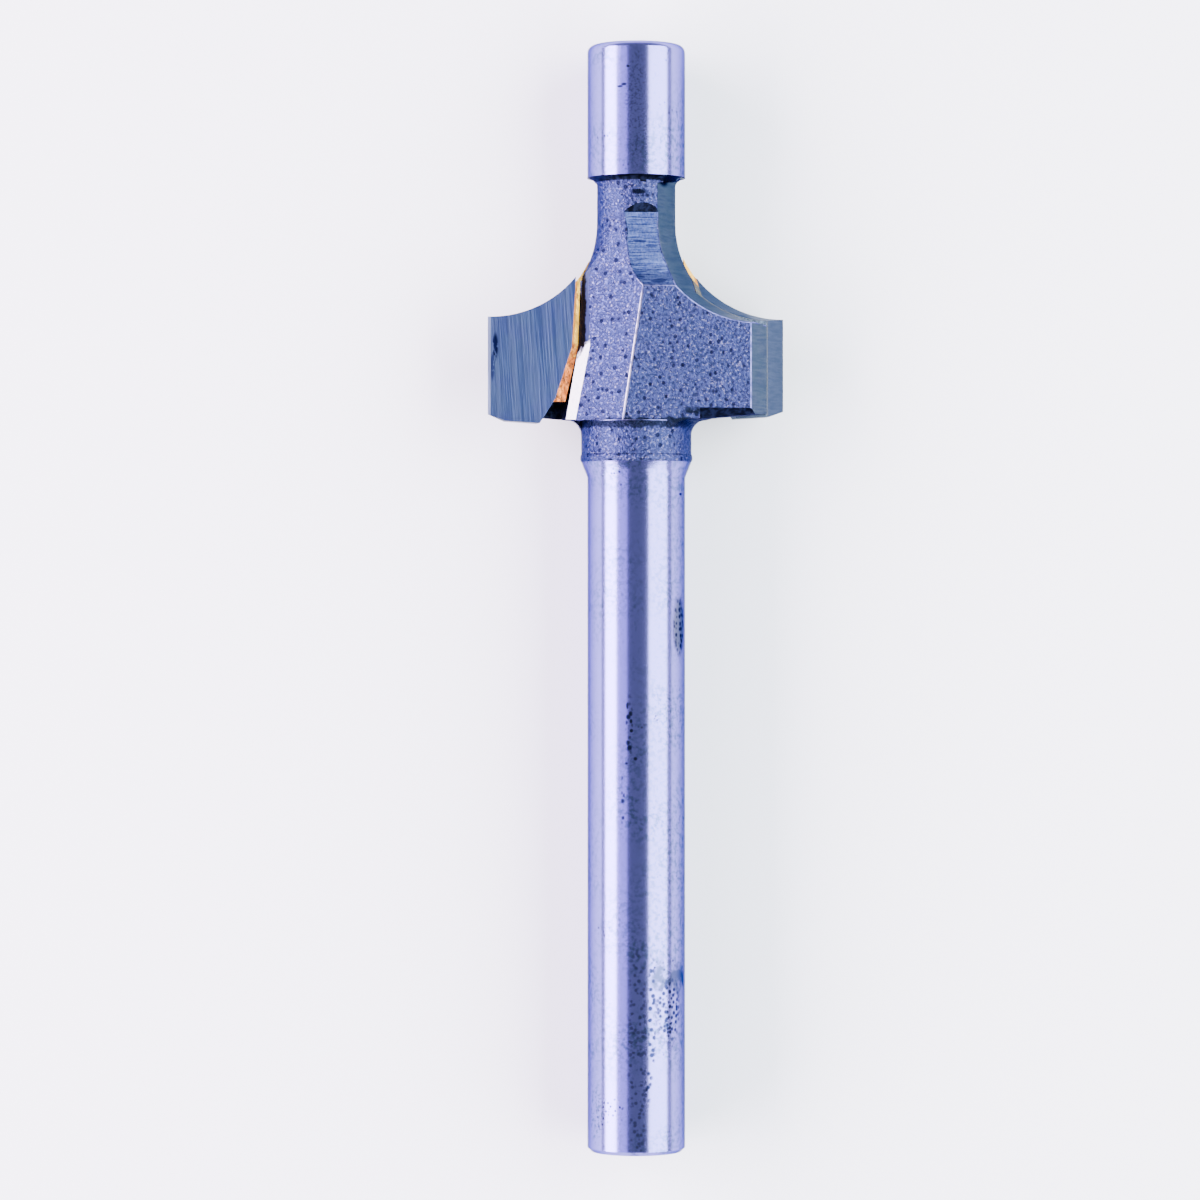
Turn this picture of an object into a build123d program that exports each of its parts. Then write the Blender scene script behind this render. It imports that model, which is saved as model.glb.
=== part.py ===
from build123d import *
import os
from math import cos, radians, sin, sqrt, tan

os.makedirs("parts", exist_ok=True)

# A two-wing round-over router bit with a solid pilot and brazed carbide tips, in millimetres.
# It lies on its side: the tool axis is level and runs along +Y, with the pilot towards +Y.
# Lengths along the tool axis are measured from the free end of the shank.

# Shank and collar
shank_d = 6.35
shank_length = 43.6
shank_chamfer = 0.25
taper_length = 1.0
collar_d = 7.15
collar_length = 2.65
bead_height = 0.07
bead_width = 0.5

# Head, neck and pilot, as turned
cutting_d = 19.46
steel_undercut = 0.4
head_height = 6.15
underside_angle = 5.4
underside_fillet = 1.0
cove_r = 7.32
cove_inset = 0.13
cove_span = 46.6
cove_to_neck = 6.53
profile_drop = 0.6
neck_d = 5.18
neck_length = 2.52
neck_fillet = 0.6
pilot_d = 6.35
pilot_length = 8.6
pilot_round = 0.5

# Wings, as milled; angles are about the tool axis
wing_count = 2
lead_angle = 9.7
wing_thickness = 3.27
wing_back_chamfer = 0.5
floor_angle = 50.3
floor_distance = 2.6
floor_rise = 5.6
clearance_height = 1.92
clearance_length = 4.75
clearance_depth = 0.32
clearance_curve = 1.65
clearance_runout = 0.6

# Relief ground behind each cutting edge: the land along the side, then the concave profile
land_angle = 40.5
relief_angle = 34.6
relief_drop = 6.0
relief_travel = 4.6
relief_gap = 0.18
wheel_lead = 0.5

# Carbide tips, their seats and the braze that holds them
tip_thickness = 1.6
grinding_stock = 0.4
cutter_overlap = 3.0
tip_ends = (-0.15, 0.15)
tip_corner = (1.25, 0.4)
tip_corner_rise = 0.13
tip_bevel = (0.75, 1.6)
tip_bevel_lean = 0.26
seat_top_clearance = 0.65
seat_kink_depth = 1.9
seat_wall_top = 3.45
seat_wall_kink = 3.79
seat_wall_foot = 4.64
seat_wall_lean = 25.0
braze_film = 0.1
braze_gap_top = 0.43
braze_gap_foot = 0.93
braze_recess = 0.12
braze_cracks = (0.16, 0.06)
braze_end = 1.25
bead_of_braze = (0.75, 1.9)
bead_of_braze_drops = (0.25, 0.0)

# Places along the tool axis and radii
shank_r = shank_d / 2
collar_r = collar_d / 2
cutting_r = cutting_d / 2
steel_r = cutting_r - steel_undercut
neck_r = neck_d / 2
pilot_r = pilot_d / 2
collar_start = shank_length + taper_length
collar_end = collar_start + collar_length
underside_rim = collar_end + (steel_r - collar_r) * tan(radians(underside_angle))
shoulder = underside_rim + head_height
neck_start = shoulder + cove_to_neck
pilot_start = neck_start + neck_length
overall = pilot_start + pilot_length
clearance_start = shoulder + clearance_height
clearance_end = clearance_start + clearance_length
cove_centre_r = cutting_r - cove_inset
cove_at_wall = shoulder + cove_r - sqrt(cove_r**2 - (cove_centre_r - seat_wall_top) ** 2)
seat_top = cove_at_wall + seat_top_clearance
seat_kink = shoulder - seat_kink_depth
cutter_r = cutting_r + cutter_overlap
axis_height = collar_r + bead_height

# The tool's own frame: z along the axis towards the pilot, y downwards
tool = Plane(origin=(0, -overall / 2, axis_height), x_dir=(1, 0, 0), z_dir=(0, 1, 0))
tool_axis = Axis(tool.origin, tool.z_dir)
axial = Plane(origin=tool.origin, x_dir=tool.x_dir, z_dir=-tool.y_dir)


def wing_frame(number):
    """One wing's frame: x out along its cutting edge, y the way it cuts, z along the tool."""
    turn = radians(180 + lead_angle + number * 360 / wing_count)
    outward = tool.x_dir * cos(turn) + tool.y_dir * sin(turn)
    return Plane(origin=tool.origin, x_dir=outward, z_dir=tool.z_dir)


def along(wing, x, y, z):
    """A direction given in a wing's frame."""
    return wing.x_dir * x + wing.y_dir * y + wing.z_dir * z


def plane_in(wing, point, x_dir, normal):
    """A plane given in a wing's frame."""
    return Plane(
        origin=wing.origin + along(wing, *point),
        x_dir=along(wing, *x_dir),
        z_dir=along(wing, *normal),
    )


def rake_plane(wing, forward=0.0):
    """The plane of a rake face: x outwards, y along the tool, normal into the wing."""
    return plane_in(wing, (0, forward, 0), (1, 0, 0), (0, -1, 0))


def wheel_direction(wing):
    """The way the relief runs back from a cutting edge."""
    inward = sin(radians(relief_angle)) * cos(radians(relief_drop))
    back = cos(radians(relief_angle)) * cos(radians(relief_drop))
    return along(wing, -inward, -back, -sin(radians(relief_drop)))


def cove_outline(drop, top, corner):
    """The edge of all that lies outside the concave profile, with the profile lowered by drop."""
    centre = Vector(cove_centre_r, shoulder + cove_r - drop)
    joint = centre + Vector(0, -cove_r).rotate(Axis.Z, -cove_span)
    neck_point = Vector(neck_r, neck_start - drop)
    CenterArc(centre, cove_r, -90, -cove_span)
    TangentArc(neck_point, joint, tangent=(0, -1))
    if corner > 0:
        FilletPolyline(neck_point, (neck_r, top), (cutter_r, top), radius=corner)
    else:
        Polyline(neck_point, (neck_r, top), (cutter_r, top))
    Polyline(
        (cutter_r, top),
        (cutter_r, collar_start),
        (cutting_r, collar_start),
        (cutting_r, shoulder - drop),
        centre + Vector(0, -cove_r),
    )


# Turned blank: shank, collar with its bead, head, neck and pilot in one piece of steel
with BuildPart() as blank:
    with BuildSketch(axial):
        with BuildLine():
            underside = FilletPolyline(
                (collar_r, collar_start + bead_width),
                (collar_r, collar_end),
                (steel_r, underside_rim),
                radius=underside_fillet,
            )
            Polyline(
                (0, overall),
                (0, 0),
                (shank_r - shank_chamfer, 0),
                (shank_r, shank_chamfer),
                (shank_r, shank_length),
                (collar_r, collar_start),
            )
            ThreePointArc(
                (collar_r, collar_start),
                (collar_r + bead_height, collar_start + bead_width / 2),
                (collar_r, collar_start + bead_width),
            )
            Polyline(
                (steel_r, underside_rim),
                (steel_r, pilot_start),
                (pilot_r, pilot_start),
                (pilot_r, overall - pilot_round),
            )
            JernArc((pilot_r, overall - pilot_round), (0, 1), pilot_round, 90)
            Line((pilot_r - pilot_round, overall), (0, overall))
        make_face()
    revolve(axis=tool_axis)
    with BuildSketch(axial):
        with BuildLine():
            cove_outline(profile_drop, pilot_start, neck_fillet)
        make_face()
    revolve(axis=tool_axis, mode=Mode.SUBTRACT)


def flute(wing):
    """What the milling cutter takes from in front of a rake face, down to the core."""
    low = collar_end - underside_fillet
    front = plane_in(wing, (0, 0, low), (1, 0, 0), (0, 0, 1))
    height = neck_start - low
    floor_in = cos(radians(floor_angle))
    floor_up = sin(radians(floor_angle))
    floor_plane = plane_in(
        wing,
        (floor_distance * floor_in, floor_distance * floor_up, clearance_start),
        (floor_up, -floor_in, 0),
        (floor_in, floor_up, tan(radians(floor_rise))),
    )
    waist_plane = plane_in(
        wing,
        (neck_r * floor_in, neck_r * floor_up, 0),
        (floor_up, -floor_in, 0),
        (floor_in, floor_up, 0),
    )
    back_plane = plane_in(wing, (0, wing_thickness, 0), (1, 0, 0), (0, 1, 0))
    with BuildPart() as waist:
        with BuildSketch(front):
            Rectangle(2 * cutter_r, cutter_r, align=(Align.CENTER, Align.MIN))
        extrude(amount=height)
        split(bisect_by=waist_plane, keep=Keep.BOTTOM)
    with BuildPart() as core:
        with BuildSketch(front):
            Rectangle(2 * cutter_r, cutter_r, align=(Align.CENTER, Align.MIN))
        extrude(amount=height)
        split(bisect_by=floor_plane, keep=Keep.BOTTOM)
        add(waist.part)
        split(bisect_by=back_plane, keep=Keep.BOTTOM)
        with BuildSketch(front):
            Circle(collar_r)
        extrude(amount=collar_end - low)
    lean = Vector(-sin(radians(seat_wall_lean)), cos(radians(seat_wall_lean)), 0)
    upper_run = Vector(seat_wall_kink - seat_wall_top, 0, seat_kink - seat_top)
    lower_run = Vector(seat_wall_foot - seat_wall_kink, 0, collar_end - seat_kink)
    kink_point = (seat_wall_kink, 0, seat_kink)
    with BuildPart() as window:
        with BuildSketch(front):
            Rectangle(2 * cutter_r, cutter_r, align=(Align.CENTER, Align.MIN))
        extrude(amount=height)
        for run in (upper_run, lower_run):
            wall = plane_in(wing, kink_point, tuple(run), tuple(run.cross(lean)))
            split(bisect_by=wall, keep=Keep.TOP)
    with BuildPart() as cut:
        with BuildSketch(front):
            Rectangle(2 * cutter_r, cutter_r, align=(Align.CENTER, Align.MIN))
        extrude(amount=height)
        add(core.part, mode=Mode.SUBTRACT)
        add(window.part)
        with BuildSketch(front):
            Rectangle(cutter_r, cutter_r, align=(Align.MIN, Align.MIN))
            Circle(collar_r, mode=Mode.SUBTRACT)
        extrude(amount=collar_end - low)
    return cut.part


def back_chamfer(wing):
    """The bevel along the lower edge of a wing's back, clear of the collar."""
    edge = underside_rim + wing_back_chamfer / 2
    side = plane_in(wing, (collar_r, 0, 0), (0, 1, 0), (1, 0, 0))
    with BuildPart() as cut:
        with BuildSketch(side):
            with BuildLine():
                Polyline(
                    (-wing_thickness - wing_back_chamfer, edge + wing_back_chamfer),
                    (-wing_thickness + 2 * wing_back_chamfer, edge - 2 * wing_back_chamfer),
                    (-wing_thickness - wing_back_chamfer, edge - 2 * wing_back_chamfer),
                    close=True,
                )
            make_face()
        extrude(amount=cutter_r - collar_r)
    return cut.part


def back_clearance(wing):
    """The flat milled across the neck and the back of the other wing, above its full thickness."""
    side = plane_in(wing, (-cutter_r, 0, 0), (0, 1, 0), (1, 0, 0))
    deepest = Vector(neck_r - clearance_depth, clearance_end)
    bend = Vector(neck_r, clearance_start + clearance_curve)
    lowest = Vector(wing_thickness, clearance_start)
    with BuildPart() as cut:
        with BuildSketch(side):
            with BuildLine():
                Line(deepest, bend)
                TangentArc(bend, lowest, tangent=bend - deepest)
                Polyline(
                    lowest,
                    (cutter_r, clearance_start),
                    (cutter_r, clearance_end + clearance_runout),
                    (neck_r, clearance_end + clearance_runout),
                    deepest,
                )
            make_face()
        extrude(amount=2 * cutter_r)
    return cut.part


def relief(wing, drop=0.0):
    """What the grinding wheels take outside the cutting profile, behind a rake face."""
    start = wing.origin - wheel_direction(wing) * wheel_lead
    side = plane_in(wing, (0, 0, collar_start), (1, 0, 0), (0, 0, 1))
    land_in = sin(radians(land_angle))
    land_back = cos(radians(land_angle))
    with BuildPart() as cut:
        with BuildSketch(side):
            with BuildLine():
                Polyline(
                    (cutting_r + wheel_lead * land_in, wheel_lead * land_back),
                    (cutting_r - relief_travel * land_in, -relief_travel * land_back),
                    (cutter_r, -relief_travel * land_back),
                    (cutter_r, wheel_lead * land_back),
                    close=True,
                )
            make_face()
        extrude(amount=shoulder - collar_start)
        with BuildSketch(Plane(origin=start, x_dir=wing.x_dir, z_dir=-wing.y_dir)):
            with BuildLine():
                cove_outline(drop, pilot_start - relief_gap, 0)
            make_face()
        extrude(amount=wheel_lead + relief_travel, dir=wheel_direction(wing))
    return cut.part


def seat(wing):
    """The pocket that a tip lies in, behind the rake plane."""
    low = collar_start + collar_length / 2
    foot_slope = (seat_wall_foot - seat_wall_kink) / (seat_kink - collar_end)
    with BuildPart() as cut:
        with BuildSketch(rake_plane(wing, braze_recess)):
            with BuildLine():
                Polyline(
                    (seat_wall_top, seat_top),
                    (seat_wall_kink, seat_kink),
                    (seat_wall_foot + foot_slope * (collar_end - low), low),
                    (cutter_r, low),
                    (cutter_r, seat_top),
                    close=True,
                )
            make_face()
        extrude(amount=braze_recess + tip_thickness + braze_film)
    return cut.part


def tip_outline(end):
    """The outline of a tip on its rake plane; the wheel trims its outer edges."""
    inner_foot = seat_wall_foot + braze_gap_foot
    return (
        (seat_wall_top + braze_gap_top, seat_top),
        (seat_wall_kink + braze_gap_top, seat_kink),
        (inner_foot - tip_bevel_lean, end + tip_bevel[1]),
        (inner_foot + tip_bevel[0], end),
        (cutting_r - tip_corner[0], end + tip_corner_rise),
        (cutting_r, end + tip_corner_rise + tip_corner[1]),
        (cutting_r + grinding_stock, end + tip_corner_rise + tip_corner[1]),
        (cutting_r + grinding_stock, seat_top),
    )


wings = [wing_frame(number) for number in range(wing_count)]

with BuildPart() as body:
    add(blank.part)
    for wing in wings:
        add(flute(wing), mode=Mode.SUBTRACT)
        add(back_clearance(wing), mode=Mode.SUBTRACT)
        add(back_chamfer(wing), mode=Mode.SUBTRACT)
        add(seat(wing), mode=Mode.SUBTRACT)
        add(relief(wing), mode=Mode.SUBTRACT)
body.part.label = "body"
export_step(body.part, "parts/body.step")

for number, wing in enumerate(wings):
    with BuildPart() as tip:
        with BuildSketch(rake_plane(wing)):
            with BuildLine():
                Polyline(*tip_outline(collar_end + tip_ends[number]), close=True)
            make_face()
        extrude(amount=tip_thickness)
        add(relief(wing), mode=Mode.SUBTRACT)
    tip.part.label = f"carbide_tip_{number + 1}"
    export_step(tip.part, f"parts/{tip.part.label}.step")

    with BuildPart() as braze:
        with BuildSketch(rake_plane(wing, -braze_recess)):
            with BuildLine():
                Polyline(
                    (seat_wall_top + braze_cracks[number], seat_top),
                    (seat_wall_kink, seat_kink),
                    (seat_wall_foot, collar_end + braze_end),
                    (seat_wall_foot + braze_gap_foot, collar_end + braze_end),
                    *tip_outline(collar_end + tip_ends[number])[-4:],
                    close=True,
                )
            make_face()
        extrude(amount=tip_thickness + braze_film - braze_recess)
        with BuildSketch(rake_plane(wing, -braze_recess)):
            with Locations((seat_wall_top, cove_at_wall)):
                Rectangle(*bead_of_braze)
        extrude(amount=tip_thickness / 2)
        add(relief(wing, bead_of_braze_drops[number]), mode=Mode.SUBTRACT)
        add(tip.part, mode=Mode.SUBTRACT)
        add(body.part, mode=Mode.SUBTRACT)
    braze.part.label = f"braze_joint_{number + 1}"
    export_step(braze.part, f"parts/{braze.part.label}.step")
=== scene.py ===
"""Finishes, stage and camera for a two-wing router bit with a solid pilot and brazed tips."""

import math

import bmesh
import bpy
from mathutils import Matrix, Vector


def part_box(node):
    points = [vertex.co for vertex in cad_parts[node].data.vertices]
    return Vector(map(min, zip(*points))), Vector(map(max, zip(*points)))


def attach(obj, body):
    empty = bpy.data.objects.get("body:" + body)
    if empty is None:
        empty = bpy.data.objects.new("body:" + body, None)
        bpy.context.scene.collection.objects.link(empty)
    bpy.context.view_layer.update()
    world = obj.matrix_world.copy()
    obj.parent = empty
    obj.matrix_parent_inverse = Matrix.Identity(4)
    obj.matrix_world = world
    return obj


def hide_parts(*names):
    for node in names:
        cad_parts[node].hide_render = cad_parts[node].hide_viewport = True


bl_info = {
    "name": "Piloted router bit",
    "version": (1, 0, 0),
    "blender": (4, 5, 0),
    "location": "View3D > Sidebar > Router bit",
    "description": "Finishes for a router bit with brazed tips, with its floor, lights and camera",
    "category": "Object",
}

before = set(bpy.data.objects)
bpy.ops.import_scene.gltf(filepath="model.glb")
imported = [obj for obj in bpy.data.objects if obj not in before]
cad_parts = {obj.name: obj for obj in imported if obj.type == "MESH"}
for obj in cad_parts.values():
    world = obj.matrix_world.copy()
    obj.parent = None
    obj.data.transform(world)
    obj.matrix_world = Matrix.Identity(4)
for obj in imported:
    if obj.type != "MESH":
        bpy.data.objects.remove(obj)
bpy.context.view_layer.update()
MM = 0.001

# The tool axis is level and points along +Y
BODY_LOW, BODY_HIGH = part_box("body")
SHANK_END = BODY_LOW.y
AXIS = Vector((0, 0, (BODY_LOW.z + BODY_HIGH.z) / 2))

# Places along the axis, in millimetres from the shank's free end, and the shank's radius
SHANK_R = 3.175
COLLAR_START = 44.6
HEAD_START = 47.24
COLLAR_END = 47.25
SEAT_KINK = 52.04
COVE_START = 52.25
FLAT_START = 55.5
FLAT_EDGES = 56.35
NECK_END = 62.69
PILOT_START = 62.97

# How squarely a face looks back towards the shank when it lies in the wings' or pilot's shade
BACKWARD = -0.5

# Angles of the wings about the tool axis, and of the ground faces behind their edges
LEAD = math.radians(9.7)
LAND = math.radians(40.5)
RELIEF = math.radians(34.6)
RELIEF_DROP = math.radians(6.0)

# The finishes on a wing in the order they are tried, each with the limits of a face that has it.
# Reach is out along the cutting edge and height towards the side that cuts, in millimetres.
# Outward, upward, forward and land say how squarely the face looks out along the edge, the way the
# wing cuts, towards the pilot and out from the land. Sweep is how far the face leans into the way
# that the relief was ground.
FAR = 99.0
WING_FINISHES = (
    ("relief", {"land": (0.995, 2), "height": (-FAR, 0), "reach": (6, FAR)}),
    (
        "relief",
        {
            "sweep": (-0.03, 0.03),
            "outward": (0.05, 2),
            "height": (-FAR, 0),
            "reach": (0.4, FAR),
            "along": (COVE_START, FAR),
        },
    ),
    (
        "milled",
        {
            "outward": (-0.1, 0.1),
            "upward": (0.5, 2),
            "forward": (0.02, 2),
            "height": (1, FAR),
            "along": (FLAT_START, FAR),
        },
    ),
    # Faces on the milled flat's top step that look back towards the shank: painted shade
    (
        "painted shade",
        {
            "outward": (-0.1, 0.1),
            "upward": (0.5, 2),
            "forward": (-2, -0.3),
            "height": (1, FAR),
            "along": (FLAT_START, FAR),
        },
    ),
    ("relief", {"forward": (0.6, 2), "reach": (5, FAR), "along": (COVE_START, FAR)}),
    (
        "seat wall",
        {
            "outward": (0.6, 2),
            "upward": (0.3, 2),
            "reach": (2.9, 5.6),
            "height": (0, FAR),
            "along": (COLLAR_END, FAR),
        },
    ),
    # Faces behind a wing's edge that look the way it cuts: painted shade
    ("painted shade", {"upward": (0.6, 2), "reach": (4, FAR), "height": (-3, -0.75)}),
)

# The order of the body's material slots
FINISHES = ("ground", "blasted", "milled", "relief", "painted shade", "seat wall", "edge")

# How squarely a tip's rake face looks the way it cuts
RAKE_FACE = 0.9

# Joining of the loose triangles: vertices this close are one, slivers this short go, and faces that
# turn by less than this are one face
MERGED = 0.002 * MM
SLIVER = 0.01 * MM
FLAT = math.radians(0.6)

# Edges that turn by more than this are rounded, and by more than this they are shaded sharp
ROUNDED = math.radians(14)
SHARP = math.radians(24)

# The tint of metal seen at a glancing angle: the shank's, plain steel's, and the head's
SHANK_TINT = "#989BB2"
STEEL_TINT = "#A9ACDC"
BLASTED_TINT = "#A0A6C6"
RELIEF_TINT = "#A8AEBE"
BRAZE_TINT = "#FFF0C0"
WHITE = "#FFFFFF"

# Places on the shank and the pilot in millimetres: across, along, half width and half length
PITS = (
    (-0.47, 26.2, 0.17, 0.19),
    (-0.08, 25.5, 0.14, 0.13),
    (-0.66, 25.2, 0.10, 0.10),
    (-0.34, 27.3, 0.13, 0.13),
    (-0.60, 28.9, 0.09, 0.24),
    (-0.36, 27.9, 0.10, 0.16),
    (2.83, 42.5, 0.10, 0.10),
    (2.05, 41.0, 0.05, 0.05),
    (-0.57, 69.9, 0.12, 0.09),
    (-0.82, 68.75, 0.20, 0.10),
    (-1.08, 68.62, 0.22, 0.08),
)
PIT_ROWS = (
    (-0.48, 27.6, 0.26, 2.2),
    (-0.88, 22.9, 0.13, 2.6),
    (0.98, 9.0, 0.30, 4.8),
    (0.75, 5.2, 0.25, 2.2),
)
DARK_RUN = (0.05, 6.0, 0.75, 9.5, 3.1)
PILOT_RUN = (0.05, 67.0, 0.95, 4.6)
STAIN_FLAG = ((2.0, 11.8, 1.1, 1.1), (2.75, 11.2, 0.70, 1.2), (1.4, 11.2, 0.6, 0.7))
STAIN_MOTTLE = (2.1, 9.3, 1.25, 2.6)
EDGE_STAIN = (2.75, 34.0, 0.62, 2.1)
SCRATCHED = (-2.6, 2.6, 0.7, 2.3)

# Places on the head, with their height above the axis as well
# Painted black shadow in the notch under the pilot
PILOT_NOTCH_SHADOW = (2.15, 62.72, 0.95, 0.50, 1.5)
# Painted dark shadow of a small step on the neck
NECK_STEP_SHADOW = (0.12, 61.92, 0.55, 0.20, 2.5)
# Painted shade in the corner where a wing meets the collar
WING_CORNER_SHADE = (3.55, 47.85, 0.95, 0.36, 2.2)
# Painted shade along a wing's lower edge where it meets the collar
WING_ROOT_SHADE = (3.0, 47.2, 1.1, 0.28, 2.4)
# Painted highlights along the ridge on each wing, above and below the axis
CREST_HIGHLIGHT = (-0.30, 51.3, 1.5, 5.3, 2.9)
CREST_HIGHLIGHT_BELOW = (0.30, 51.3, 1.5, 5.3, -2.9)
CHIPS = (-9.10, 52.0, 0.22, 1.0, 1.6)
WORN_EDGE = (-9.28, 50.7, 0.16, 1.0, 1.6)

# How far out the pale band on the tips' cutting edges, a painted highlight, and the painted black
# shade on the seat's wall lie, in millimetres
HONED_HIGHLIGHT = (9.37, 9.42)
BLACK_SHADE_REACH = (3.27, 3.36)

# The slanting border where the seat's wall stops being painted white as a highlight: its slope, and
# a reach that it passes at
HIGHLIGHT_SLOPE = 1.3
HIGHLIGHT_REACH = 3.45

# Where the braze changes: clean above and heated below, ground flush beyond a line that runs from
# one (along, reach) to the other, ground flush behind the tip, and coppery beyond a slanting line
CLEAN_BRAZE = 52.6
FLUSH_LINE = ((52.0, 5.6), (58.0, 3.2))
FLUSH_BEHIND = 56.9
FLANK_SLOPE = 0.055
FLANK_LINE = (56.67, 3.74)

# Softboxes: name, setting of the power, angle from straight up, distance, length, width and colour
SOFTBOXES = (
    ("left softbox", "left", math.radians(-63), 0.36, 0.6, 0.19, "#FFECFF"),
    ("upper left softbox", "crown", math.radians(-34.5), 0.36, 0.6, 0.165, "#CCBAFF"),
    ("right softbox", "right", math.radians(53), 0.35, 0.6, 0.31, "#F4FAFF"),
)

# The studio's walls and ceiling, and how far up the one gives way to the other
WALLS = "#CBCCE6"
CEILING = "#848F96"
CEILING_STARTS, CEILING_ENDS = 0.22, 0.60
STUDIO_STRENGTH = 2.1

FLOOR_SIZE = 3.0
SENSOR_WIDTH = 36.0
FOCAL_LENGTH = 130.5
CAMERA_ACROSS = -2.35 * MM
CAMERA_ALONG = -0.125 * MM
NEAREST_SEEN = 0.01


def linear(hex_colour):
    """An sRGB hex colour as the linear red, green, blue and alpha that sockets take."""
    values = [int(hex_colour[i : i + 2], 16) / 255 for i in (1, 3, 5)]
    return [v / 12.92 if v <= 0.04045 else ((v + 0.055) / 1.055) ** 2.4 for v in values] + [1.0]


def add_node(tree, kind, sockets=None, **settings):
    """Adds a node with its settings, and fills or links its input sockets."""
    made = tree.nodes.new("ShaderNode" + kind)
    for name, value in settings.items():
        setattr(made, name, value)
    for name, value in (sockets or {}).items():
        if isinstance(value, bpy.types.Node):
            value = value.outputs[0]
        if isinstance(value, bpy.types.NodeSocket):
            tree.links.new(value, made.inputs[name])
        else:
            made.inputs[name].default_value = value
    return made


def colour(label, description, hex_colour):
    """A colour that the panel shows."""
    return bpy.props.FloatVectorProperty(
        name=label,
        description=description,
        subtype="COLOR",
        size=4,
        min=0.0,
        max=1.0,
        default=linear(hex_colour),
    )


def length(label, description, default):
    """A length that the panel shows."""
    return bpy.props.FloatProperty(
        name=label, description=description, unit="LENGTH", subtype="DISTANCE", default=default
    )


def power(label, description, default):
    """The power of a light, which the panel shows."""
    return bpy.props.FloatProperty(
        name=label, description=description, unit="POWER", default=default
    )


class SteelSettings(bpy.types.PropertyGroup):
    """The steel body."""

    ground: colour("Ground steel", "Ground shank and pilot", "#6D68AC")
    stain: colour("Stain", "Old stains and pits on the shank", "#1C2142")
    blasted: colour("Blasted steel", "Blasted skin of the head, neck and collar", "#343862")
    milled: colour("Milled steel", "Milled flat behind the neck", "#374370")
    relief: colour("Relief-ground steel", "Ground band and land behind the tip", "#353D4B")
    edge: length("Edge rounding", "Width of the rounding on the head's edges", 0.06 * MM)


class TipSettings(bpy.types.PropertyGroup):
    """The carbide tips."""

    carbide: colour("Carbide", "Fine-ground carbide", "#444D78")
    flank: colour("Relieved carbide", "Ground relief of the tips", "#394252")
    edge: length("Edge rounding", "Honed width on the cutting edges", 0.02 * MM)


class BrazeSettings(bpy.types.PropertyGroup):
    """The brazing metal."""

    gold: colour("Braze", "Clean brazing metal", "#FFC94A")
    copper: colour("Braze, heated", "Brazing metal discoloured by heat", "#B5622C")


class StageSettings(bpy.types.PropertyGroup):
    """Floor, lights and camera."""

    floor: colour("Floor", "Matt pale floor", "#F4F4F5")
    left: power("Left light", "Power of the left softbox", 12.0)
    crown: power("Upper left light", "Power of the dim upper left softbox", 1.35)
    right: power("Right light", "Power of the right softbox", 9.5)
    camera_height: length("Camera height", "Height of the camera above the tool axis", 281.9 * MM)


def in_mm(tree, turn=(0, 0, 0), stretch=(1, 1, 1)):
    """Object coordinates in millimetres, turned and then squeezed."""
    place = add_node(tree, "TexCoord").outputs["Object"]
    turned = add_node(tree, "Mapping", {"Vector": place, "Rotation": turn})
    return add_node(tree, "Mapping", {"Vector": turned, "Scale": [s / MM for s in stretch]})


def cloud(tree, grain_mm, low, high, turn=(0, 0, 0), stretch=(1, 1, 1), detail=2.0):
    """A cloudy pattern of a real grain size, nought below the low level and one above the high."""
    pattern = add_node(
        tree,
        "TexNoise",
        {
            "Vector": in_mm(tree, turn, stretch),
            "Scale": 1 / grain_mm,
            "Detail": detail,
            "Roughness": 0.6,
        },
    )
    return add_node(
        tree,
        "MapRange",
        {"Value": pattern, "From Min": low, "From Max": high},
        interpolation_type="SMOOTHSTEP",
    ).outputs[0]


def craters(tree, spacing_mm, width_mm, kept):
    """Round craters of a real width and spacing. Each cell's random colour says if it has one."""
    cells = add_node(tree, "TexVoronoi", {"Vector": in_mm(tree), "Scale": 1 / spacing_mm})
    rim = width_mm / spacing_mm / 2
    spots = add_node(
        tree, "MapRange", {"Value": cells, "From Min": rim * 1.25, "From Max": rim * 0.75}
    )
    chosen = add_node(
        tree, "Math", {0: cells.outputs["Color"], 1: 1 - kept}, operation="GREATER_THAN"
    )
    return within(tree, spots.outputs[0], chosen)


def patch(tree, across_mm, along_mm, half_across_mm, half_along_mm, height_mm=None):
    """One inside an oval place, falling to nought round it. Without a height it is on the shank."""
    if height_mm is None:
        height_mm = math.sqrt(SHANK_R**2 - across_mm**2)
    centre = [across_mm * MM, SHANK_END + along_mm * MM, AXIS.z + height_mm * MM]
    sizes = [half_across_mm * MM, half_along_mm * MM, max(half_across_mm, 0.9) * MM]
    place = add_node(tree, "TexCoord").outputs["Object"]
    local = add_node(tree, "VectorMath", {0: place, 1: centre}, operation="SUBTRACT")
    scales = [1 / size for size in sizes]
    local = add_node(tree, "VectorMath", {0: local, 1: scales}, operation="MULTIPLY")
    far = add_node(tree, "VectorMath", {0: local}, operation="LENGTH").outputs["Value"]
    return add_node(
        tree,
        "MapRange",
        {"Value": far, "From Min": 1.1, "From Max": 0.6},
        interpolation_type="SMOOTHSTEP",
    ).outputs[0]


def within(tree, *shares):
    """The product of several shares."""
    share = shares[0]
    for other in shares[1:]:
        share = add_node(tree, "Math", {0: share, 1: other}, operation="MULTIPLY").outputs[0]
    return share


def painted(tree, base, layers):
    """A base colour with other colours laid over it in turn, each by its share."""
    for share, over in layers:
        base = add_node(tree, "Mix", {0: share, 6: base, 7: over}, data_type="RGBA").outputs[2]
    return base


def reach_in_mm(tree):
    """How far out from the tool axis a place lies to either side."""
    place = add_node(tree, "SeparateXYZ", {0: in_mm(tree)})
    return add_node(tree, "Math", {0: place.outputs["X"]}, operation="ABSOLUTE")


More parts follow.
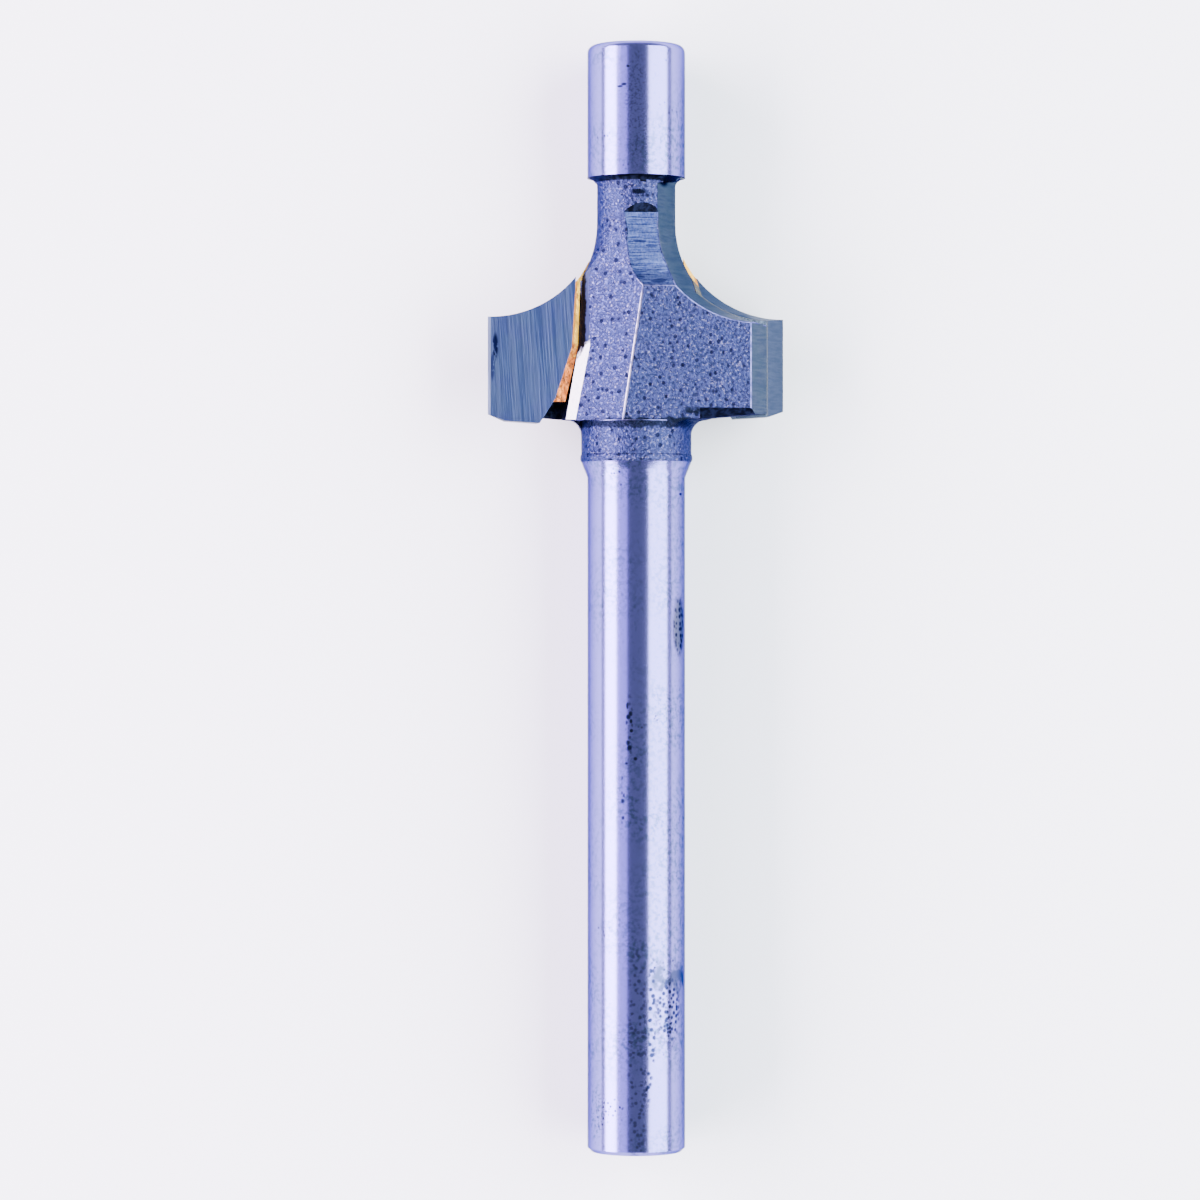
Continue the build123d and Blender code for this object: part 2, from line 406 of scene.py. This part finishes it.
def along_in_mm(along):
    """A place along the tool as the Y coordinate in millimetres."""
    return SHANK_END / MM + along


def surface(name, roughness, tint=STEEL_TINT, metallic=1.0):
    """A node material, with the shader ready for its colour and bump."""
    made = bpy.data.materials.new(name)
    made.use_nodes = True
    tree = made.node_tree
    tree.nodes.clear()
    shader = add_node(
        tree,
        "BsdfPrincipled",
        {"Metallic": metallic, "Roughness": roughness, "Specular Tint": linear(tint)},
    )
    add_node(tree, "OutputMaterial", {"Surface": shader})
    return made, tree, shader


def finished(tree, shader, base, height=None, depth_mm=0.0):
    """Gives a shader its colour, and a bump of a real depth."""
    tree.links.new(base, shader.inputs["Base Color"])
    if height is not None:
        bump = add_node(tree, "Bump", {"Height": height, "Distance": depth_mm * MM})
        tree.links.new(bump.outputs[0], shader.inputs["Normal"])


# Each material's docstring says how the surface was made and what that gives the eye. Wheel lines
# and the grain that grit leaves are finer than a tenth of a millimetre on such a tool. They are
# drawn at 0.12 to 0.24 mm, because finer ones wouldn't show.


def ground_steel(settings):
    """Tool steel ground between wheels: a bright skin with fine rings, pits and old stains."""
    made, tree, shader = surface("ground tool steel", 0.17, SHANK_TINT)
    rings = cloud(tree, 0.12, 0.3, 0.7, stretch=(0.2, 1, 0.2), detail=3.0)
    mist = cloud(tree, 0.30, 0.42, 0.66)
    fleck = cloud(tree, 0.16, 0.60, 0.68)
    smear = cloud(tree, 0.8, 0.32, 0.56)
    drops = craters(tree, 0.27, 0.27, 0.8)
    pits = craters(tree, 0.36, 0.30, 0.75)
    small_pits = craters(tree, 0.24, 0.15, 0.6)
    scratches = cloud(tree, 0.2, 0.5, 0.6, turn=(0, 0, 0.7))
    shade = linear("#4C5480")
    layers = [
        (within(tree, mist, cloud(tree, 6.0, 0.35, 0.65)), shade),
        (within(tree, fleck, 0.35), shade),
        (
            within(tree, patch(tree, *DARK_RUN), craters(tree, 0.26, 0.24, 0.6), 0.6),
            settings.stain,
        ),
        (
            within(tree, patch(tree, *PILOT_RUN), cloud(tree, 0.13, 0.50, 0.60), 0.45),
            settings.stain,
        ),
        (within(tree, patch(tree, *SCRATCHED), scratches), shade),
        (patch(tree, *EDGE_STAIN), linear("#4A4E66")),
        (within(tree, patch(tree, *EDGE_STAIN), drops), linear("#1A1C2A")),
    ]
    for place in STAIN_FLAG:
        layers.append((within(tree, patch(tree, *place), smear), linear("#3A4062")))
    layers.append((within(tree, patch(tree, *STAIN_MOTTLE), drops), settings.stain))
    for place in PIT_ROWS:
        layers.append((within(tree, patch(tree, *place), pits), settings.stain))
    for place in PITS:
        layers.append((patch(tree, *place), settings.stain))
    layers.append((within(tree, small_pits, cloud(tree, 2.5, 0.62, 0.70)), settings.stain))
    finished(tree, shader, painted(tree, settings.ground, layers), rings, 0.0012)
    return made


def blasted_steel(settings):
    """Tool steel blasted clean after brazing: matt frosted grain, small dark craters, painted
    shade.
    """
    made, tree, shader = surface("grit-blasted tool steel", 0.34, BLASTED_TINT)
    grain = cloud(tree, 0.20, 0.36, 0.66, detail=3.0)
    crests = cloud(tree, 0.16, 0.56, 0.72)
    patchy = cloud(tree, 1.6, 0.35, 0.65)
    pits = craters(tree, 0.50, 0.26, 0.55)
    # Painted shade: a ragged dark band across the collar just below the wings
    ragged = cloud(tree, 0.5, 0.3, 0.7)
    place = add_node(tree, "SeparateXYZ", {0: in_mm(tree)})
    along = add_node(
        tree, "Math", {0: ragged, 1: 0.25, 2: place.outputs["Y"]}, operation="MULTIPLY_ADD"
    )
    root = along_in_mm(COLLAR_END)
    past_collar = add_node(
        tree, "MapRange", {"Value": along, "From Min": root - 0.42, "From Max": root - 0.30}
    )
    before_wings = add_node(
        tree, "MapRange", {"Value": along, "From Min": root + 0.26, "From Max": root + 0.16}
    )
    crevice_shade = within(tree, past_collar, before_wings)
    painted_shade_tone = linear("#0C101D")
    layers = [
        (grain, settings.blasted),
        (within(tree, crests, 0.6), linear("#76729A")),
        (within(tree, patchy, 0.2), linear("#253054")),
        (within(tree, pits, 0.9), linear("#0B0E22")),
        (within(tree, crevice_shade, 0.9), painted_shade_tone),
        # Painted shade in the wing's corner above the collar
        (within(tree, patch(tree, *WING_CORNER_SHADE), cloud(tree, 0.4, 0.15, 0.5)), painted_shade_tone),
        # Painted shade along the wing's lower edge
        (patch(tree, *WING_ROOT_SHADE), painted_shade_tone),
        # Painted black shadow in the notch under the pilot
        (patch(tree, *PILOT_NOTCH_SHADOW), linear("#020305")),
        # Painted dark shadow of a small step on the neck
        (patch(tree, *NECK_STEP_SHADOW), linear("#070A18")),
    ]
    base = painted(tree, linear("#1F223E"), layers)
    height = add_node(tree, "Math", {0: grain, 1: pits}, operation="SUBTRACT").outputs[0]
    finished(tree, shader, base, height, 0.03)
    return made


def milled_steel(settings):
    """Tool steel as an end mill leaves it: short feed marks across the flat."""
    made, tree, shader = surface("milled tool steel", 0.42)
    feed = cloud(tree, 0.24, 0.43, 0.57, stretch=(0.08, 1, 0.08), detail=1.0)
    gouges = cloud(tree, 0.30, 0.66, 0.70, stretch=(0.25, 1, 0.25), detail=0.0)
    fine = cloud(tree, 0.15, 0.35, 0.65)
    layers = [
        (feed, settings.milled),
        (within(tree, fine, 0.3), linear("#6974A9")),
        (within(tree, gouges, 0.8), linear("#1A224B")),
    ]
    finished(tree, shader, painted(tree, linear("#2C3766"), layers), feed, 0.03)
    return made


def relief_steel(settings):
    """Tool steel relief-ground with the tips in place: fine wheel lines across the band."""
    made, tree, shader = surface("relief-ground tool steel", 0.30, RELIEF_TINT)
    lines = cloud(tree, 0.16, 0.35, 0.65, stretch=(0.12, 1, 0.12))
    tone = cloud(tree, 1.4, 0.35, 0.65)
    layers = [
        (within(tree, lines, 0.5), linear("#4A535E")),
        (within(tree, tone, 0.3), linear("#344249")),
        # Painted black shadow in the notch under the pilot
        (patch(tree, *PILOT_NOTCH_SHADOW), linear("#030207")),
    ]
    finished(tree, shader, painted(tree, settings.relief, layers), lines, 0.004)
    return made


def relief_carbide(settings):
    """Tungsten carbide on its relief: the wheel lines of the steel behind, a shade brighter."""
    made, tree, shader = surface("relief-ground tungsten carbide", 0.30, RELIEF_TINT)
    lines = cloud(tree, 0.14, 0.35, 0.65, stretch=(0.12, 1, 0.12))
    layers = [(within(tree, lines, 0.5), linear("#495263"))]
    finished(tree, shader, painted(tree, settings.flank, layers), lines, 0.003)
    return made


def painted_shade_steel(settings):
    """Faces of the head in its corners and looking back towards the shank: painted near black as
    shade.
    """
    made, tree, shader = surface("oxidised steel", 0.6)
    painted_shade_tone = cloud(tree, 0.3, 0.4, 0.65)
    # A faint mottle in the painted shade, and a painted black shadow in the notch under the pilot
    layers = [(painted_shade_tone, linear("#191E33")), (patch(tree, *PILOT_NOTCH_SHADOW), linear("#03040A"))]
    finished(tree, shader, painted(tree, linear("#080A14"), layers))
    return made


def seat_wall_steel(settings):
    """The seat's wall: white and matt by the tip's foot as a painted highlight, steel with painted
    black shade above.
    """
    made, tree, shader = surface("steel with dried flux", 0.6, WHITE)
    place = add_node(tree, "SeparateXYZ", {0: in_mm(tree)})
    ragged = cloud(tree, 0.35, 0.2, 0.8)
    along = add_node(
        tree, "Math", {0: ragged, 1: 0.3, 2: place.outputs["Y"]}, operation="MULTIPLY_ADD"
    )
    reach = add_node(
        tree, "Math", {0: ragged, 1: 0.12, 2: reach_in_mm(tree)}, operation="MULTIPLY_ADD"
    )
    slanted = add_node(tree, "Math", {0: reach, 1: HIGHLIGHT_SLOPE, 2: along}, operation="MULTIPLY_ADD")
    border = along_in_mm(SEAT_KINK) + HIGHLIGHT_SLOPE * HIGHLIGHT_REACH
    # The share past the border, where the painted white highlight gives way to metal
    clear = add_node(
        tree, "MapRange", {"Value": slanted, "From Min": border - 0.05, "From Max": border + 0.35}
    )
    black_shade = add_node(
        tree, "MapRange", {"Value": reach, "From Min": BLACK_SHADE_REACH[0], "From Max": BLACK_SHADE_REACH[1]}
    )
    tree.links.new(clear.outputs[0], shader.inputs["Metallic"])
    layers = [
        (within(tree, cloud(tree, 0.22, 0.48, 0.66), 0.35), linear("#BFB4E0")),
        (clear, linear("#363C5E")),
        # Painted black shade on the wall's outer part, past the border
        (within(tree, clear, black_shade), linear("#020308")),
    ]
    # The white base colour is the painted highlight
    finished(tree, shader, painted(tree, linear("#FBFAFF"), layers))
    return made


def edge_steel(settings):
    """Rounded edges of the head, lighter as burnished steel and partly as a painted highlight,
    brightest on the crests.
    """
    made, tree, shader = surface("burnished steel edge", 0.30)
    broken = cloud(tree, 0.4, 0.30, 0.55)
    # The colour of the painted highlight on the crests
    bright = linear("#C7B8D2")
    layers = [
        (broken, linear("#5F6093")),
        (within(tree, patch(tree, *CREST_HIGHLIGHT), broken), bright),
        (within(tree, patch(tree, *CREST_HIGHLIGHT_BELOW), broken), bright),
        # Painted shade at the corner where the wing meets the collar
        (patch(tree, *WING_CORNER_SHADE), linear("#0D1224")),
    ]
    finished(tree, shader, painted(tree, linear("#3D406E"), layers))
    return made


def ground_carbide(settings):
    """Tungsten carbide ground with a fine diamond wheel: grey with close, straight, dark lines, and
    a pale painted highlight on the cutting edge.
    """
    made, tree, shader = surface("fine-ground tungsten carbide", 0.32)
    lean = (0, 0, math.radians(-4))
    lines = cloud(tree, 0.13, 0.36, 0.64, turn=lean, stretch=(1, 0.025, 1), detail=3.0)
    coarse = cloud(tree, 0.55, 0.40, 0.62, turn=lean, stretch=(1, 0.035, 1), detail=1.0)
    tone = cloud(tree, 2.2, 0.35, 0.65)
    chips = cloud(tree, 0.24, 0.38, 0.46, stretch=(1, 0.35, 1))
    # Painted highlight: a pale band along the rounded cutting edge
    honed_highlight = add_node(
        tree, "MapRange", {"Value": reach_in_mm(tree), "From Min": HONED_HIGHLIGHT[0], "From Max": HONED_HIGHLIGHT[1]}
    )
    layers = [
        (within(tree, lines, 0.75), settings.carbide),
        (within(tree, coarse, 0.25), linear("#585F85")),
        (within(tree, tone, 0.2), linear("#40566B")),
        (within(tree, patch(tree, *CHIPS), chips), linear("#0A0D2E")),
        (within(tree, patch(tree, *WORN_EDGE), chips, 0.8), linear("#171C43")),
        (honed_highlight, linear("#8688B4")),
    ]
    finished(tree, shader, painted(tree, linear("#2E3763"), layers), lines, 0.003)
    return made


def braze(settings):
    """Silver braze: gold where it froze clean, coppery where heat coloured it, grey if ground."""
    made, tree, shader = surface("silver braze", 0.45, BRAZE_TINT)
    place = add_node(tree, "SeparateXYZ", {0: in_mm(tree)})
    along = place.outputs["Y"]
    reach = reach_in_mm(tree)
    ragged = cloud(tree, 0.5, 0.2, 0.8)
    dross = cloud(tree, 0.30, 0.55, 0.68)

    clean = along_in_mm(CLEAN_BRAZE)
    border = add_node(tree, "Math", {0: ragged, 1: 1.6, 2: along}, operation="MULTIPLY_ADD")
    heated = add_node(
        tree, "MapRange", {"Value": border, "From Min": clean + 0.6, "From Max": clean - 0.3}
    )

    (first_along, first_reach), (last_along, last_reach) = FLUSH_LINE
    line = add_node(
        tree,
        "MapRange",
        {
            "Value": along,
            "From Min": along_in_mm(first_along),
            "From Max": along_in_mm(last_along),
            "To Min": first_reach,
            "To Max": last_reach,
        },
    )
    past = add_node(tree, "Math", {0: reach, 1: line}, operation="SUBTRACT")
    flush = add_node(tree, "MapRange", {"Value": past, "From Min": 0.0, "From Max": 0.25})

    # The product of sideways place and height has one sign on the side that cuts, on both wings
    height = add_node(tree, "Math", {0: place.outputs["Z"], 1: AXIS.z / MM}, operation="SUBTRACT")
    side = add_node(tree, "Math", {0: height, 1: place.outputs["X"]}, operation="MULTIPLY")
    behind = add_node(tree, "Math", {0: side, 1: 0.0}, operation="GREATER_THAN")
    root = along_in_mm(FLUSH_BEHIND)
    below = add_node(
        tree, "MapRange", {"Value": along, "From Min": root + 0.2, "From Max": root - 0.2}
    )

    slanted = add_node(tree, "Math", {0: along, 1: FLANK_SLOPE, 2: reach}, operation="MULTIPLY_ADD")
    flank_along, flank_reach = FLANK_LINE
    thin = flank_reach + FLANK_SLOPE * along_in_mm(flank_along)
    flank = add_node(
        tree, "MapRange", {"Value": slanted, "From Min": thin, "From Max": thin + 0.06}
    )
    layers = [
        (within(tree, flank, 0.8), settings.copper),
        (heated, settings.copper),
        (within(tree, cloud(tree, 0.6, 0.5, 0.7), 0.5), linear("#D98A48")),
        (within(tree, dross, heated, 0.8), linear("#3A2C28")),
        (flush, linear("#3E4858")),
        (within(tree, behind, below), linear("#3E4858")),
    ]
    ripple = cloud(tree, 0.4, 0.3, 0.7)
    finished(tree, shader, painted(tree, settings.gold, layers), ripple, 0.03)
    return made


def floor_matt(settings):
    """A painted studio floor: matt and even, with a faint unevenness of tone."""
    made, tree, shader = surface("matt painted floor", 0.9, metallic=0.0)
    tone = cloud(tree, 60.0, 0.3, 0.7)
    layers = [(within(tree, tone, 0.2), linear("#F0F0F2"))]
    finished(tree, shader, painted(tree, settings.floor, layers))
    return made


def wing_directions(number):
    """Out along a wing's cutting edge, and the way it cuts."""
    turn = math.pi + LEAD + number * math.pi
    return (
        Vector((math.cos(turn), 0, -math.sin(turn))),
        Vector((-math.sin(turn), 0, -math.cos(turn))),
    )


def finish_on_wing(number, normal, local, along):
    """The finish that a wing gives a face of the head, or None where it is plainly blasted."""
    out, cut = wing_directions(number)
    outward, upward, forward = normal.dot(out), normal.dot(cut), normal.y
    sweep = math.sin(RELIEF) * outward + math.cos(RELIEF) * upward
    measures = {
        "outward": outward,
        "upward": upward,
        "forward": forward,
        "land": math.cos(LAND) * outward - math.sin(LAND) * upward,
        "sweep": sweep * math.cos(RELIEF_DROP) + forward * math.sin(RELIEF_DROP),
        "reach": local.dot(out) / MM,
        "height": local.dot(cut) / MM,
        "along": along,
    }
    for finish, limits in WING_FINISHES:
        if all(low < measures[name] < high for name, (low, high) in limits.items()):
            if finish == "seat wall" and number == 1:
                # The second wing's seat faces the floor: no painted highlight, and painted shade
                # beyond the kink
                return "painted shade" if along > SEAT_KINK else "blasted"
            return finish
    return None


def finish_of(normal, centre):
    """The finish of a face of the body, by where it lies and the way it faces."""
    along = (centre.y - SHANK_END) / MM
    backward = normal.y < BACKWARD
    if along < COLLAR_START or along > PILOT_START and not backward:
        return "ground"
    for number in (0, 1):
        finish = finish_on_wing(number, normal, centre - AXIS, along)
        if finish:
            return finish
    # Faces that look back towards the shank, under the wings and the pilot: painted shade
    if backward and (COLLAR_END < along < FLAT_START or along > NECK_END):
        return "painted shade"
    return "blasted"


def edge_finish(centre):
    """The finish of a rounding: burnished, but plainly blasted towards the neck."""
    along = (centre.y - SHANK_END) / MM
    return "blasted" if along > FLAT_EDGES else "edge"


def merged_copy(node, name):
    """A new object and the shape of a CAD node with its loose triangles joined."""
    made = bpy.data.objects.new(name, bpy.data.meshes.new(name))
    bpy.context.scene.collection.objects.link(made)
    shape = bmesh.new()
    shape.from_mesh(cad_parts[node].data)
    bmesh.ops.remove_doubles(shape, verts=shape.verts, dist=MERGED)
    bmesh.ops.dissolve_degenerate(shape, dist=SLIVER, edges=shape.edges)
    bmesh.ops.dissolve_limit(shape, angle_limit=FLAT, verts=shape.verts, edges=shape.edges)
    return made, shape


def round_edges(shape, width, edges):
    """Rounds edges, and returns the faces of the rounding."""
    made = bmesh.ops.bevel(
        shape,
        geom=edges,
        offset=width,
        offset_type="OFFSET",
        segments=2,
        profile=0.5,
        affect="EDGES",
        material=-1,
        clamp_overlap=False,
    )
    return made["faces"]


def sharp_edges(shape):
    """The edges that turn outwards by more than the least angle that is rounded."""
    return [e for e in shape.edges if e.is_manifold and e.calc_face_angle_signed(0.0) > ROUNDED]


def head_edges(shape):
    """The sharp edges of the head, without those on faces painted as shade and on the seat's wall.
    """
    dark = {FINISHES.index("painted shade"), FINISHES.index("seat wall")}
    found = []
    for edge in sharp_edges(shape):
        along = ((edge.verts[0].co.y + edge.verts[1].co.y) / 2 - SHANK_END) / MM
        on_head = HEAD_START < along < NECK_END
        if on_head and not dark & {face.material_index for face in edge.link_faces}:
            found.append(edge)
    return found


def dress(made, shape, node, materials):
    """Puts a shape in its object, which then stands for its CAD node."""
    for face in shape.faces:
        face.smooth = True
    for edge in shape.edges:
        edge.smooth = edge.calc_face_angle(0.0) < SHARP
    shape.to_mesh(made.data)
    shape.free()
    for material in materials:
        made.data.materials.append(material)
    made.modifiers.new("Face normals", "WEIGHTED_NORMAL").keep_sharp = True
    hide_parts(node)
    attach(made, "root")


class ROUTERBIT_OT_body(bpy.types.Operator):
    """Make the steel body with its ground, blasted and milled faces"""

    bl_idname = "routerbit.body"
    bl_label = "Steel body"

    def execute(self, context):
        settings = context.scene.routerbit_steel
        made, shape = merged_copy("body", "steel_body")
        for face in shape.faces:
            finish = finish_of(face.normal, face.calc_center_median())
            face.material_index = FINISHES.index(finish)
        for face in round_edges(shape, settings.edge, head_edges(shape)):
            face.material_index = FINISHES.index(edge_finish(face.calc_center_median()))
        materials = [
            ground_steel(settings),
            blasted_steel(settings),
            milled_steel(settings),
            relief_steel(settings),
            painted_shade_steel(settings),
            seat_wall_steel(settings),
            edge_steel(settings),
        ]
        dress(made, shape, "body", materials)
        return {"FINISHED"}


class ROUTERBIT_OT_tips(bpy.types.Operator):
    """Make the two carbide tips"""

    bl_idname = "routerbit.tips"
    bl_label = "Carbide tips"

    def execute(self, context):
        settings = context.scene.routerbit_tips
        finishes = [ground_carbide(settings), relief_carbide(settings)]
        for number in (0, 1):
            node = f"carbide_tip_{number + 1}"
            made, shape = merged_copy(node, f"carbide_{number + 1}")
            round_edges(shape, settings.edge, sharp_edges(shape))
            cut = wing_directions(number)[1]
            for face in shape.faces:
                face.material_index = 0 if face.normal.dot(cut) > RAKE_FACE else 1
            dress(made, shape, node, finishes)
        return {"FINISHED"}


class ROUTERBIT_OT_braze(bpy.types.Operator):
    """Make the brazing metal round the tips"""

    bl_idname = "routerbit.braze"
    bl_label = "Braze"

    def execute(self, context):
        finish = braze(context.scene.routerbit_braze)
        for number in (1, 2):
            made, shape = merged_copy(f"braze_joint_{number}", f"braze_{number}")
            dress(made, shape, f"braze_joint_{number}", [finish])
        return {"FINISHED"}


def make_floor(settings):
    """A flat floor at the height the tool lies on."""
    shape = bmesh.new()
    bmesh.ops.create_grid(shape, x_segments=1, y_segments=1, size=FLOOR_SIZE)
    floor = bpy.data.objects.new("floor", bpy.data.meshes.new("floor"))
    shape.to_mesh(floor.data)
    shape.free()
    bpy.context.scene.collection.objects.link(floor)
    floor.data.materials.append(floor_matt(settings))


def make_softbox(name, energy, zenith, distance, long, wide, hex_colour):
    """A rectangular softbox that leans over the tool by an angle from straight up."""
    light = bpy.data.lights.new(name, "AREA")
    light.shape = "RECTANGLE"
    light.size, light.size_y = long, wide
    light.energy = energy
    light.color = linear(hex_colour)[:3]
    made = bpy.data.objects.new(name, light)
    made.location = AXIS + Vector((math.sin(zenith), 0, math.cos(zenith))) * distance
    made.rotation_euler = (AXIS - made.location).to_track_quat("-Z", "Y").to_euler()
    bpy.context.scene.collection.objects.link(made)


def make_studio():
    """Pale walls under a greyer ceiling, which the ground steel mirrors between the softboxes."""
    world = bpy.data.worlds.new("studio")
    bpy.context.scene.world = world
    world.use_nodes = True
    tree = world.node_tree
    up = add_node(tree, "SeparateXYZ", {0: add_node(tree, "TexCoord").outputs["Generated"]})
    height = add_node(
        tree,
        "MapRange",
        {"Value": up.outputs["Z"], "From Min": CEILING_STARTS, "From Max": CEILING_ENDS},
    )
    sky = painted(tree, linear(WALLS), [(height, linear(CEILING))])
    tree.links.new(sky, tree.nodes["Background"].inputs["Color"])
    tree.nodes["Background"].inputs["Strength"].default_value = STUDIO_STRENGTH


def make_camera(settings):
    """A camera that looks straight down on the tool."""
    camera = bpy.data.cameras.new("camera")
    camera.sensor_width = SENSOR_WIDTH
    camera.lens = FOCAL_LENGTH
    camera.clip_start = NEAREST_SEEN
    seen = bpy.data.objects.new("camera", camera)
    seen.location = (CAMERA_ACROSS, CAMERA_ALONG, AXIS.z + settings.camera_height)
    bpy.context.scene.collection.objects.link(seen)
    bpy.context.scene.camera = seen


class ROUTERBIT_OT_stage(bpy.types.Operator):
    """Make the floor, the lights and the camera"""

    bl_idname = "routerbit.stage"
    bl_label = "Stage"

    def execute(self, context):
        settings = context.scene.routerbit_stage
        make_floor(settings)
        for name, setting, *place in SOFTBOXES:
            make_softbox(name, getattr(settings, setting), *place)
        make_studio()
        make_camera(settings)
        return {"FINISHED"}


class ROUTERBIT_PT_panel(bpy.types.Panel):
    """Lists the pieces and their settings"""

    bl_label = "Router bit"
    bl_idname = "ROUTERBIT_PT_panel"
    bl_space_type = "VIEW_3D"
    bl_region_type = "UI"
    bl_category = "Router bit"

    def draw(self, context):
        for kind in OPERATORS:
            self.layout.operator(kind.bl_idname)
        for group in GROUPS:
            settings = getattr(context.scene, group)
            box = self.layout.box()
            for name in settings.__annotations__:
                box.prop(settings, name)


OPERATORS = (ROUTERBIT_OT_stage, ROUTERBIT_OT_body, ROUTERBIT_OT_tips, ROUTERBIT_OT_braze)
GROUPS = {
    "routerbit_steel": SteelSettings,
    "routerbit_tips": TipSettings,
    "routerbit_braze": BrazeSettings,
    "routerbit_stage": StageSettings,
}


def register():
    for kind in (*GROUPS.values(), *OPERATORS, ROUTERBIT_PT_panel):
        bpy.utils.register_class(kind)
    for name, kind in GROUPS.items():
        setattr(bpy.types.Scene, name, bpy.props.PointerProperty(type=kind))


def unregister():
    for name in GROUPS:
        delattr(bpy.types.Scene, name)
    for kind in (ROUTERBIT_PT_panel, *reversed(OPERATORS), *GROUPS.values()):
        bpy.utils.unregister_class(kind)


def main():
    register()
    bpy.ops.routerbit.stage()
    bpy.ops.routerbit.body()
    bpy.ops.routerbit.tips()
    bpy.ops.routerbit.braze()


if __name__ == "__main__":
    main()
